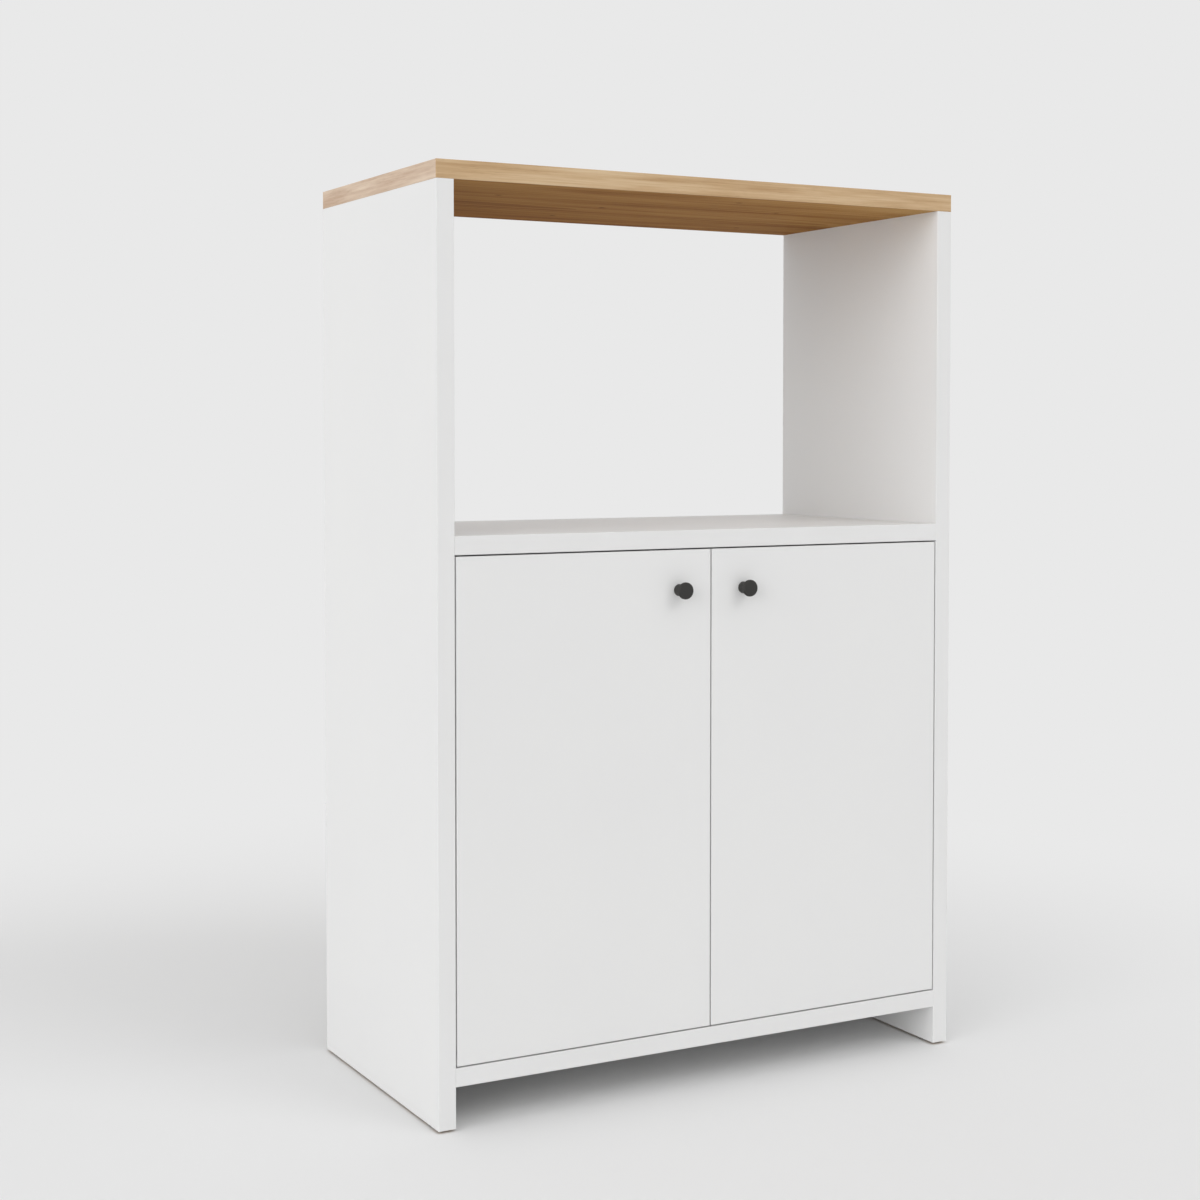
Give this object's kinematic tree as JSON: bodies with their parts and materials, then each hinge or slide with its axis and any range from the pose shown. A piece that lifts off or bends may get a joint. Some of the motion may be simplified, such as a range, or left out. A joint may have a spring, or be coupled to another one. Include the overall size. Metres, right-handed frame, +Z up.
{
  "type": "microwave cabinet",
  "caption": "Free-standing microwave cabinet with a wood-look top, an open see-through niche and a white cupboard with inset doors and small black knobs.",
  "frame": {"origin": "on the floor, under the middle of the box round the carcass and its knobs", "axes": "+Z up, -Y out of the doors' fronts, +X to the right seen from the front"},
  "size_m": [0.6, 0.31, 0.915],
  "materials": {
    "worktop_board": "matt wood-look laminate",
    "worktop_strip": "matt wood-look edge strip",
    "white_board": "matt white melamine",
    "white_strip": "matt white edge strip",
    "back_board": "white lacquered hardboard",
    "dowel_wood": "turned beech",
    "knob_black": "matt black paint",
    "hinge_steel": "nickel plated pressed steel",
    "fitting_zinc": "zinc plated",
    "glide_plastic": "moulded grey plastic"
  },
  "bodies": {
    "cabinet": {"worktop": "worktop_board", "worktop_edging": "worktop_strip", "side_panel_left": "white_board", "side_panel_right": "white_board", "side_edging_left": "white_strip", "side_edging_right": "white_strip", "niche_floor": "white_board", "niche_floor_edging": "white_strip", "bottom_panel": "white_board", "bottom_panel_edging": "white_strip", "back_panel": "back_board", "inner_shelf": "white_board", "inner_shelf_edging": "white_strip", "shelf_pins": "fitting_zinc", "worktop_dowels": "dowel_wood", "carcass_dowels": "dowel_wood", "cam_bolts": "fitting_zinc", "cam_locks": "fitting_zinc", "foot_glides": "glide_plastic", "hinge_plates_left": "hinge_steel", "plate_screws_left": "fitting_zinc", "hinge_arms_left": "hinge_steel", "arm_screws_left": "fitting_zinc", "arm_pins_left": "fitting_zinc", "hinge_plates_right": "hinge_steel", "plate_screws_right": "fitting_zinc", "hinge_arms_right": "hinge_steel", "arm_screws_right": "fitting_zinc", "arm_pins_right": "fitting_zinc"},
    "left_door": {"door_panel_left": "white_board", "door_edging_left": "white_strip", "knob_left": "knob_black", "knob_screw_left": "fitting_zinc", "hinge_cups_left": "hinge_steel", "cup_screws_left": "fitting_zinc"},
    "right_door": {"door_panel_right": "white_board", "door_edging_right": "white_strip", "knob_right": "knob_black", "knob_screw_right": "fitting_zinc", "hinge_cups_right": "hinge_steel", "cup_screws_right": "fitting_zinc"},
    "left_levers": {"hinge_levers_left": "hinge_steel", "lever_pins_left": "fitting_zinc"},
    "right_levers": {"hinge_levers_right": "hinge_steel", "lever_pins_right": "fitting_zinc"}
  },
  "joints": [
    {"name": "left_door_hinge", "type": "hinge", "parent": "cabinet", "child": "left_door", "pos_m": [-0.2705, -0.1355, 0.303], "axis": [0, 0, -1], "range_deg": [0, 100]},
    {"name": "right_door_hinge", "type": "hinge", "parent": "cabinet", "child": "right_door", "pos_m": [0.2705, -0.1355, 0.303], "axis": [0, 0, 1], "range_deg": [0, 100]},
    {"name": "left_lever_pivot", "type": "hinge", "parent": "cabinet", "child": "left_levers", "pos_m": [-0.2505, -0.119, 0.303], "axis": [0, 0, 1], "range_deg": [0, 32.86]},
    {"name": "right_lever_pivot", "type": "hinge", "parent": "cabinet", "child": "right_levers", "pos_m": [0.2505, -0.119, 0.303], "axis": [0, 0, -1], "range_deg": [0, 32.86]}
  ],
  "couplings": [
    {"joint": "left_lever_pivot", "follows": "left_door_hinge", "ratio": 0.32855},
    {"joint": "right_lever_pivot", "follows": "right_door_hinge", "ratio": 0.32855}
  ]
}
